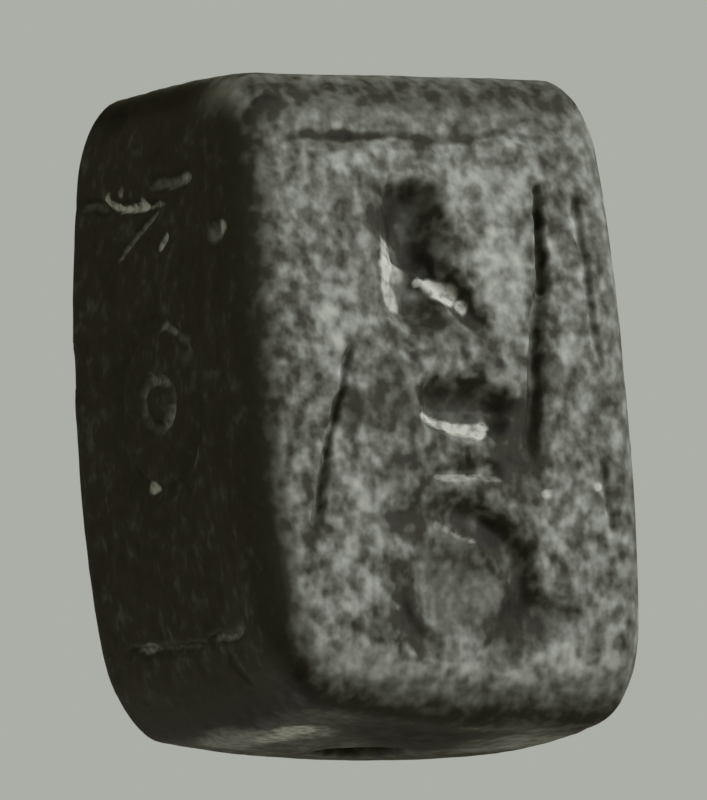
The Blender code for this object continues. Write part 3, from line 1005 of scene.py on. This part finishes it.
@dataclass(frozen=True)
class ShadeAndHandling:
    """How the skin's shade and mottling change with the way it faces.

    The left side is darker: painted shade where it turns from the light, and in part the stone's
    own tone. The rims of the ends are darker with painted shade, and the corner at the head and
    the left is paler with painted light. Each ramp runs over a part of the outward direction:
    over how far it faces left, up or to an end, unless it says otherwise.

    Attributes:
        corner: The corner at the head and the left, with painted light, by the lesser of left and head.
        corner_rise: The same corner, by the height from the block's middle.
        corner_light: Share of the left's darkness its painted light takes off. Past 1 it turns pale.
        left: Darkness of the left side: painted shade, in part the stone's own tone.
        head: Painted shade on the head end's rim.
        head_dark: Its strength at the rim.
        head_middle: What it loses towards the middle of the head end.
        foot: Painted shade on the foot end.
        foot_dark: Its strength on the whole end, and what it gains on its rim.
        foot_middle: Where the foot's rim passes into its middle.
        foot_up: Where the foot's rim faces up enough to be darker.
        worn_edge: Mottling lost on edges, by how far the skin is from facing straight along one
            axis.
        hollow: Mottling lost in hollows, by the greater of depth and darkness as shares of the next.
        full_hollow: Depth and darkness at which a hollow has lost the most.
        plain_left: Mottling lost on the left side.
        plain_end: Mottling lost on the ends.
        plain_ends: How strong that is at the head and at the foot.
    """

    corner: Ramp = Ramp(0.3, 0.33)
    corner_rise: Ramp = Ramp(1, 3)
    corner_light: float = 1.6
    left: Ramp = Ramp(0.2, 0.6, 0.9)
    head: Ramp = Ramp(0.38, 0.2)
    head_dark: float = 0.66
    head_middle: Ramp = Ramp(0.65, 0.25, 0.58)
    foot: Ramp = Ramp(0.4, 0.4)
    foot_dark: tuple[float, float] = (0.6, 0.4)
    foot_middle: Ramp = Ramp(0.85, 0.13)
    foot_up: Ramp = Ramp(0.1, 0.2)
    worn_edge: Ramp = Ramp(0, 0.12, 0.42)
    hollow: Ramp = Ramp(0, 1, 0.5)
    full_hollow: tuple[float, float] = (0.4, 1.2)
    plain_left: Ramp = Ramp(0.4, 0.5, 0.7)
    plain_end: Ramp = Ramp(0.4, 0.5)
    plain_ends: tuple[float, float] = (0.25, 0.5)

    def darkness(self, facing: np.ndarray, height: np.ndarray) -> np.ndarray:
        """How much darker the skin is: mostly painted shade, less the corner's painted light.

        Args:
            facing: Outward directions.
            height: Heights from the block's middle.

        Returns:
            The shade to take off, at each point.
        """
        to_left, to_end = -facing[:, 0], np.abs(facing[:, 1])
        corner = self.corner.at(np.minimum(to_left, facing[:, 1])) * self.corner_rise.at(height)
        left = self.left.at(to_left) * (1 - self.corner_light * corner)
        head = self.head.at(to_end) * (self.head_dark - self.head_middle.at(to_end))
        rim = (1 - self.foot_middle.at(to_end)) * self.foot_up.at(facing[:, 2])
        foot = self.foot.at(to_end) * (self.foot_dark[0] + self.foot_dark[1] * rim)
        return left + np.where(facing[:, 1] > 0, head * (1 - corner), foot)

    def mottling(self, facing: np.ndarray, depth: np.ndarray, dirt_and_shade: np.ndarray) -> np.ndarray:
        """How plainly the skin shows its grains.

        Args:
            facing: Outward directions.
            depth: Depths of the cuts.
            dirt_and_shade: Strength of the dark tones, dirt and painted shade alike.

        Returns:
            The share of the mottling that is left, at each point.
        """
        to_end = np.abs(facing[:, 1])
        hollow = np.maximum(depth / self.full_hollow[0], dirt_and_shade / self.full_hollow[1])
        end = np.where(facing[:, 1] > 0, *self.plain_ends) * self.plain_end.at(to_end)
        return ((1 - self.worn_edge.at(1 - np.abs(facing).max(axis=1)))
                * (1 - self.hollow.at(hollow)) * (1 - self.plain_left.at(-facing[:, 0])) * (1 - end))


def closed_mesh(name: str, point: np.ndarray, loops: np.ndarray,
                totals: np.ndarray) -> bpy.types.Mesh:
    """Makes a smooth mesh.

    Args:
        name: The mesh's name.
        point: Its points, in metres.
        loops: The points of all its faces in a row.
        totals: How many of them belong to each face.

    Returns:
        The mesh.
    """
    mesh = bpy.data.meshes.new(name)
    mesh.vertices.add(len(point))
    mesh.vertices.foreach_set("co", point.ravel())
    mesh.loops.add(len(loops))
    mesh.loops.foreach_set("vertex_index", loops.astype(np.int32))
    mesh.polygons.add(len(totals))
    mesh.polygons.foreach_set("loop_start", (np.cumsum(totals) - totals).astype(np.int32))
    mesh.polygons.foreach_set("loop_total", totals.astype(np.int32))
    mesh.update(calc_edges=True)
    mesh.validate()
    mesh.polygons.foreach_set("use_smooth", np.ones(len(totals), dtype=bool))
    return mesh


@dataclass
class StoneSeal:
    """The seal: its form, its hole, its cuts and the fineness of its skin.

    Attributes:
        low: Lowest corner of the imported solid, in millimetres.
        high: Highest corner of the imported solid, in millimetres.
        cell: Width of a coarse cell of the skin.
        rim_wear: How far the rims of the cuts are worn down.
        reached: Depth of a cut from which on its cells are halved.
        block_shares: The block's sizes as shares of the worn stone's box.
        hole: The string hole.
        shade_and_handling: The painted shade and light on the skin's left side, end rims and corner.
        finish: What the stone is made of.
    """

    low: np.ndarray
    high: np.ndarray
    cell: float = 0.18
    rim_wear: float = 0.06
    reached: float = 0.01
    block_shares: tuple[float, float, float] = (0.998, 0.9829, 0.9853)
    hole: StringHole = StringHole()
    shade_and_handling: ShadeAndHandling = ShadeAndHandling()
    finish: Soapstone = Soapstone()

    def __post_init__(self) -> None:
        """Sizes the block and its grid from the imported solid's box."""
        self.half = (self.high - self.low) / 2 * self.block_shares
        self.block = WornBlock(self.half)
        self.cells = (np.round(self.half / self.cell) * 2).astype(int)

    @staticmethod
    def hand(point: np.ndarray) -> np.ndarray:
        """Block points as an unsteady hand finds them: shifted along each axis by soft lumps."""
        layers = [tuple((height, width, seed + axis) for height, width, seed in HAND)
                  for axis in range(3)]
        return point + np.stack([lumps(point, layer) for layer in layers], axis=1)

    def sunk(self, side: Side, point: np.ndarray) -> np.ndarray:
        """Depth of a side's cuts.

        Cuts run into each other and out to the skin with worn rims: the depth is the wear times
        the logarithm of 1 plus the sum of each cut's exponential of its level over the wear.

        Args:
            side: The side.
            point: Block points of that side, as the hand finds them.

        Returns:
            The depth at each point.
        """
        across, along = side.spot(point)
        total = np.ones(len(point))
        for cut in CUTS.get(side, ()):
            level = np.clip(cut.level(across, along) / self.rim_wear, *EXPONENTS)
            total += np.exp(level)
        return self.rim_wear * np.log(total)

    @staticmethod
    def toned(side: Side, point: np.ndarray, marks: dict[Side, tuple[Tone, ...]]) -> np.ndarray:
        """Adds up a side's tones.

        Args:
            side: The side.
            point: Block points of that side, as the hand finds them.
            marks: The tones of each side.

        Returns:
            Their strength at each point.
        """
        across, along = side.spot(point)
        strengths = (tone.strength(across, along) for tone in marks.get(side, ()))
        return sum(strengths, np.zeros(len(point)))

    def cell_middles(self, side: Side, shift: tuple[float, float] = (0.5, 0.5)) -> np.ndarray:
        """Block points inside the coarse cells of a side.

        Args:
            side: The side.
            shift: How far into its cell each point lies along the side's two axes, as shares.

        Returns:
            One point to a cell.
        """
        u_axis, v_axis, facing, end, _ = side.value
        u, v = np.meshgrid(np.arange(self.cells[u_axis]) + shift[0],
                           np.arange(self.cells[v_axis]) + shift[1], indexing="ij")
        point = np.zeros((u.size, 3))
        point[:, u_axis] = (2 * u.ravel() / self.cells[u_axis] - 1) * self.half[u_axis]
        point[:, v_axis] = (2 * v.ravel() / self.cells[v_axis] - 1) * self.half[v_axis]
        point[:, facing] = (2 * end - 1) * self.half[facing]
        return point

    def grades(self, side: Side) -> np.ndarray:
        """How often each coarse cell of a side is halved.

        Plain cells of the upper and left faces are halved once. Cells that a cut reaches are
        halved twice, but once on the right, and the cells round the hole's mouths once. So are
        the cells along the block's edges on every side, so that sides agree there.

        Args:
            side: The side.

        Returns:
            How often each cell is halved, as a table of cells across and along.
        """
        shape = tuple(self.cells[axis] for axis in side.value[:2])
        grade = np.full(shape, 1 if side in (Side.UPPER, Side.LEFT) else 0)
        for shift in np.ndindex(3, 3):
            spots = self.hand(self.cell_middles(side, (shift[0] / 2, shift[1] / 2)))
            cut = (self.sunk(side, spots) > self.reached).reshape(shape)
            grade[cut] = 1 if side is Side.RIGHT else 2
        grade[[0, -1], :] = 1
        grade[:, [0, -1]] = 1
        if side in ENDS:
            near = self.from_hole(side, self.cell_middles(side)).reshape(shape)
            grade[near < self.hole.cells + self.hole.halved] = 1
        return grade

    def opening(self, side: Side) -> np.ndarray:
        """Which coarse cells the hole takes out.

        Args:
            side: The side.

        Returns:
            True for those cells, as a table of cells across and along.
        """
        shape = tuple(self.cells[axis] for axis in side.value[:2])
        if side not in ENDS:
            return np.zeros(shape, dtype=bool)
        return self.from_hole(side, self.cell_middles(side)).reshape(shape) < self.hole.cells

    def end_scale(self, side: Side, across: np.ndarray) -> tuple[np.ndarray, float]:
        """How much the wear shrinks an end.

        Args:
            side: The head or the foot end.
            across: Places across it, whose sign tells left from right.

        Returns:
            Its width there and its height, as shares of the block's.
        """
        block, head = self.block, 1.0 if side is Side.HEAD else -1.0
        bow = np.where(across > 0, *block.bows[::-1])
        wide = 1 + block.widening * head - bow
        return wide, 1 - block.upper_fall * head - block.upper_bow

    def hole_cell(self, side: Side) -> np.ndarray:
        """The coarse grid corner nearest to the hole's middle.

        Args:
            side: The head or the foot end.

        Returns:
            Its place across and up, in whole coarse cells.
        """
        up = self.hole.height / self.end_scale(side, np.zeros(1))[1] - self.half[2]
        place = (np.array([0.0, up]) / self.half[[0, 2]] + 1) / 2 * self.cells[[0, 2]]
        return np.round(place).astype(int)

    def from_hole(self, side: Side, point: np.ndarray) -> np.ndarray:
        """Rows of coarse cells between block points of an end and the hole's middle."""
        place = (point[:, [0, 2]] / self.half[[0, 2]] + 1) / 2 * self.cells[[0, 2]]
        return np.max(np.abs(place - self.hole_cell(side)), axis=1)

    def rounded_mouth(self, side: Side, point: np.ndarray) -> tuple[np.ndarray, np.ndarray]:
        """Eases the grid's rows round the hole into circles.

        Args:
            side: The head or the foot end.
            point: Block points of that end.

        Returns:
            The moved block points, and how deep the mouth's rounding takes the skin there.
        """
        wide, tall = self.end_scale(side, point[:, 0])
        x = point[:, 0] * wide
        z = (point[:, 2] + self.half[2]) * tall - self.hole.height
        reach = np.hypot(x, z)
        rows = self.from_hole(side, point) - self.hole.cells
        ease = smooth_step(rows / self.hole.spread)
        wanted = (self.hole.mouth + rows * self.cell) * (1 - ease) + reach * ease
        moved = point.copy()
        moved[:, 0] = x / reach * wanted / wide
        moved[:, 2] = (z / reach * wanted + self.hole.height) / tall - self.half[2]
        inner = np.clip(1 - (wanted - self.hole.mouth) / self.hole.rim, 0, 1)
        return moved, self.hole.rim * (1 - np.sqrt(1 - inner ** 2))

    def chipped(self, point: np.ndarray) -> np.ndarray:
        """Takes the flakes out of the skin: it is pushed in to the hollow of each flake's lens.

        Args:
            point: Worn points.

        Returns:
            The points, pushed in where a flake is gone.
        """
        for chip in CHIPS:
            spot = np.array([chip.spot]) * self.half
            _, radii, lean = self.block.rounding(spot)
            outward = (lean / radii)[0] / np.linalg.norm(lean / radii)
            around = np.cross(outward, (0, 1, 0))
            around /= np.linalg.norm(around)
            along = np.cross(around, outward)
            middle = self.block.worn(spot)[0] + outward * (chip.thickness / 2 - chip.bite)
            local = (point - middle) @ np.stack([outward, along, around], axis=1)
            reach = np.sum((local[:, 1:] / (np.array(chip.spread) / 2)) ** 2, axis=1)
            lens = chip.thickness / 2 * np.sqrt(np.clip(1 - reach, 0, 1))
            floor = lumps(point, CHIP_ROUGHNESS) - lens
            push = np.where(reach < 1, np.minimum(floor - local[:, 0], 0), 0)
            near = np.abs(local[:, 0]) < chip.thickness
            point = point + outward * (push * near)[:, None]
        return point

    def hole_wall(self, grid: SkinGrid, skin: np.ndarray) -> tuple[np.ndarray, np.ndarray]:
        """The wall of the string hole.

        Args:
            grid: The skin's grid.
            skin: The worn points of the grid's corners.

        Returns:
            The new points, in rings from foot to head, and the wall's faces of four corners.
        """
        hole = self.hole
        size = hole.cells * FINEST
        walk = np.arange(-size, size, FINEST // 2)
        still = np.full_like(walk, size)
        square = np.concatenate([np.stack(pair, 1) for pair in (
            (walk, -still), (still, walk), (-walk, still), (-still, -walk))])
        mouths = []
        for side in ENDS:
            corner = np.zeros((len(square), 3), dtype=np.int64)
            corner[:, [0, 2]] = square + self.hole_cell(side) * FINEST
            corner[:, 1] = grid.fine[1] * side.value[3]
            mouths.append(grid.find(corner))
        foot, head = (skin[mouth] for mouth in mouths)
        way = np.linspace(0, 1, hole.rings + 2)[1:-1, None]
        share = smooth_step(way) * hole.crowding + way * (1 - hole.crowding)
        angle = np.arctan2(foot[:, 2] - hole.height, foot[:, 0])
        y = foot[:, 1] * (1 - share) + head[:, 1] * share
        radius = hole.throat + (hole.mouth - hole.throat) * np.abs(2 * share - 1) ** hole.flare
        wall = np.stack([radius * np.cos(angle), y, radius * np.sin(angle)], axis=-1)
        flat = wall.reshape(-1, 3)
        uneven = (lumps(flat * (hole.drawn_out, 1.0, hole.drawn_out), hole.grooves)
                  + lumps(flat, hole.wavering))
        scale = 1 + uneven.reshape(wall.shape[:2]) / radius
        wall[..., 0] *= scale
        wall[..., 2] = wall[..., 2] * scale + hole.height
        rings = len(skin) + np.arange(wall.shape[0] * wall.shape[1]).reshape(wall.shape[:2])
        rows = np.concatenate([mouths[0][None], rings, mouths[1][None]])
        here, there = rows[:-1], rows[1:]
        faces = np.stack([here, np.roll(here, -1, 1), np.roll(there, -1, 1), there], axis=-1)
        return wall.reshape(-1, 3), faces.reshape(-1, 4)

    def build(self) -> bpy.types.Object:
        """Builds the stone as one closed mesh and dresses it.

        Returns:
            The finished piece, at the origin and in metres.
        """
        grid = SkinGrid(self.cells, {side: self.grades(side) for side in Side},
                        {side: self.opening(side) for side in Side})
        point = (2 * grid.corners / grid.fine - 1) * self.half
        inward, depth, lime_and_highlight, shade = (np.zeros(len(point)) for _ in range(4))
        for side in ENDS:
            here = grid.on_side(side)
            point[here], inward[here] = self.rounded_mouth(side, point[here])
        for side in Side:
            here = grid.on_side(side)
            found = self.hand(point[here])
            depth[here] = self.sunk(side, found)
            # Lime, with painted highlights in the cuts and painted light on the foot.
            lime_and_highlight[here] = self.toned(side, found, LIME_AND_HIGHLIGHTS)
            # Shade: the stone's own tone, with painted shade in the hollows and on edges, and painted
            # light.
            shade[here] = self.toned(side, found, SHADES)
        facing = self.block.outward(point)
        mottling = self.shade_and_handling.mottling(facing, depth, np.maximum(-shade, 0))
        # Painted shade on the left side and the rims of the ends, less painted light on the head's left
        # corner.
        shade -= self.shade_and_handling.darkness(facing, point[:, 2])
        even = np.clip((point[:, 2] + self.half[2]) / LEVEL_BELOW, 0, 1)
        inward += depth + lumps(point, UNEVENNESS) * even
        inward -= sum(swell.height(point / self.half) for swell in SWELLS)
        skin = self.chipped(self.block.worn(point) - facing * inward[:, None])

        wall, wall_faces = self.hole_wall(grid, skin)
        skin = np.concatenate([skin, wall])
        low, high = skin.min(axis=0), skin.max(axis=0)
        skin = (skin - low) / (high - low) * (self.high - self.low) + self.low
        loops = np.concatenate([grid.loops.ravel(), wall_faces.ravel()])
        totals = np.concatenate([grid.totals, np.full(len(wall_faces), 4)])
        mesh = closed_mesh(NODE, skin * MM, loops, totals)
        for name, value in (("lime_and_highlight", lime_and_highlight), ("shade", shade), ("depth", depth),
                            ("mottling", mottling)):
            value = np.concatenate([value, np.zeros(len(wall))]).astype(np.float32)
            mesh.attributes.new(name, "FLOAT", "POINT").data.foreach_set("value", value)
        piece = bpy.data.objects.new("carved_stone", mesh)
        bpy.context.scene.collection.objects.link(piece)
        mesh.materials.append(self.finish.material())
        return piece


@dataclass(frozen=True)
class Lamp:
    """A square soft light that looks at the bead.

    Attributes:
        name: The lamp's name.
        right: Degrees that it leans from straight above the bead to its right, +X.
        lift: Degrees that it leans on towards the bead's head, +Y.
        level: Light on a white card that faces it at the bead, where 1 is full white.
        distance: Its distance from the bead's middle, in metres.
        width: Width of its face, in metres.
        tone: Its colour.
    """

    name: str
    right: float
    lift: float
    level: float
    distance: float = 0.5
    width: float = 0.2
    tone: str = "#ffffff"

    def hang(self) -> None:
        """Adds the light. Its power is pi squared times the level times its squared distance."""
        right, lift = math.radians(self.right), math.radians(self.lift)
        toward = Vector((math.sin(right) * math.cos(lift), math.sin(lift),
                         math.cos(right) * math.cos(lift)))
        data = bpy.data.lights.new(self.name, "AREA")
        data.size = self.width
        data.energy = self.level * (math.pi * self.distance) ** 2
        data.color = linear(self.tone)[:3]
        lamp = bpy.data.objects.new(self.name, data)
        lamp.location = toward * self.distance + Vector((0, 0, BEAD_MIDDLE))
        lamp.rotation_euler = toward.to_track_quat("Z", "Y").to_euler()
        bpy.context.scene.collection.objects.link(lamp)


LAMPS = (
    Lamp("key_light", 43, 24, 1.25, width=0.3),
    Lamp("left_fill", -78, 10, 0.2, width=0.3),
    Lamp("foot_reflector", -170, -60, 0.22, distance=0.05, width=0.01),
)


@dataclass
class Studio:
    """A pale floor, soft light and the camera, which looks down on the bead where it lies.

    Attributes:
        turn: Degrees that the camera stands round to the bead's left.
        tilt: Degrees that it stands towards the bead's foot.
        roll: Degrees that the picture is turned.
        distance: Camera's distance from the bead, in millimetres.
        frame_height: Height that the picture covers at the bead, in millimetres.
        aim: Where the camera looks: over the back, then right and up in the picture.
        sensor: Width of the camera's sensor, in millimetres.
        clip: Nearest and farthest that the camera sees, in metres.
        floor_half: Half the floor's width, in metres.
        floor_tone: Colour of the floor, and of the room as the camera sees it.
        room_tone: Colour of the room's own light.
        room_level: Strength of that light.
    """

    turn: float = 29.0
    tilt: float = 6.06
    roll: float = 3.1
    distance: float = 160.0
    frame_height: float = 18.91
    aim: tuple[float, float, float] = (5.0, 0.04, 0.305)
    sensor: float = 36.0
    clip: tuple[float, float] = (0.01, 10.0)
    floor_half: float = 1.5
    floor_tone: str = "#acaea8"
    room_tone: str = "#fff2b4"
    room_level: float = 0.15

    def axes(self) -> tuple[Vector, Vector, Vector]:
        """Works out how the camera is turned.

        Returns:
            The picture's right and up directions, and the direction back to the camera.
        """
        turn, tilt, roll = (math.radians(angle) for angle in (self.turn, self.tilt, self.roll))
        back = Vector((-math.sin(turn) * math.cos(tilt), -math.sin(tilt),
                       math.cos(turn) * math.cos(tilt)))
        level = Vector((0, 1, 0)).cross(back).normalized()
        upright = back.cross(level)
        right = level * math.cos(roll) - upright * math.sin(roll)
        up = level * math.sin(roll) + upright * math.cos(roll)
        return right, up, back

    def camera(self) -> None:
        """Adds the camera and makes it the scene's."""
        right, up, back = self.axes()
        spot = Vector((0, 0, self.aim[0])) + right * self.aim[1] + up * self.aim[2]
        data = bpy.data.cameras.new("camera")
        data.sensor_width = self.sensor
        data.lens = self.sensor * self.distance / self.frame_height
        data.clip_start, data.clip_end = self.clip
        camera = bpy.data.objects.new("camera", data)
        placed = Matrix((right, up, back)).transposed().to_4x4()
        placed.translation = (spot + back * self.distance) * MM
        camera.matrix_world = placed
        bpy.context.scene.collection.objects.link(camera)
        bpy.context.scene.camera = camera

    def lights(self) -> None:
        """Adds the lamps and the room's own faint light."""
        for lamp in LAMPS:
            lamp.hang()
        world = bpy.data.worlds.new("room")
        world.use_nodes = True
        tree = world.node_tree
        tree.nodes.clear()
        seen = add_node(tree, "ShaderNodeLightPath").outputs["Is Camera Ray"]
        dim = add_node(tree, "ShaderNodeBackground", inputs={
            "Color": linear(self.room_tone), "Strength": self.room_level}).outputs[0]
        pale = add_node(tree, "ShaderNodeBackground", inputs={
            "Color": linear(self.floor_tone), "Strength": 1.0}).outputs[0]
        mixed = add_node(tree, "ShaderNodeMixShader", inputs={0: seen, 1: dim, 2: pale}).outputs[0]
        add_node(tree, "ShaderNodeOutputWorld", inputs={"Surface": mixed})
        bpy.context.scene.world = world

    def floor(self) -> None:
        """Adds the pale floor: an evenly lit sheet that throws no light on the bead."""
        half = self.floor_half
        mesh = bpy.data.meshes.new("floor")
        mesh.from_pydata([(-half, -half, 0), (half, -half, 0), (half, half, 0), (-half, half, 0)],
                         [], [(0, 1, 2, 3)])
        floor = bpy.data.objects.new("floor", mesh)
        material = bpy.data.materials.new("backlit_sheet")
        material.use_nodes = True
        tree = material.node_tree
        tree.nodes.clear()
        glow = add_node(tree, "ShaderNodeEmission", inputs={
            "Color": linear(self.floor_tone), "Strength": 1.0}).outputs[0]
        add_node(tree, "ShaderNodeOutputMaterial", inputs={"Surface": glow})
        mesh.materials.append(material)
        floor.visible_diffuse = False
        floor.visible_glossy = False
        floor.visible_shadow = False
        bpy.context.scene.collection.objects.link(floor)


def main() -> None:
    """Builds the stone and the studio round it."""
    logging.basicConfig(level=logging.INFO, format="%(name)s: %(message)s")
    bpy.context.scene.view_settings.view_transform = "Standard"
    low, high = (np.array(corner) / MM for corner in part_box(NODE))
    piece = StoneSeal(low, high).build()
    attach(piece, "root")
    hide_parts(NODE)
    triangles = sum(len(face.vertices) - 2 for face in piece.data.polygons)
    LOG.info("%s: %d points, %d triangles", piece.name, len(piece.data.vertices), triangles)
    studio = Studio()
    studio.floor()
    studio.lights()
    studio.camera()
    LOG.info("studio: floor, lights and camera are in place")


if __name__ == "__main__":
    main()
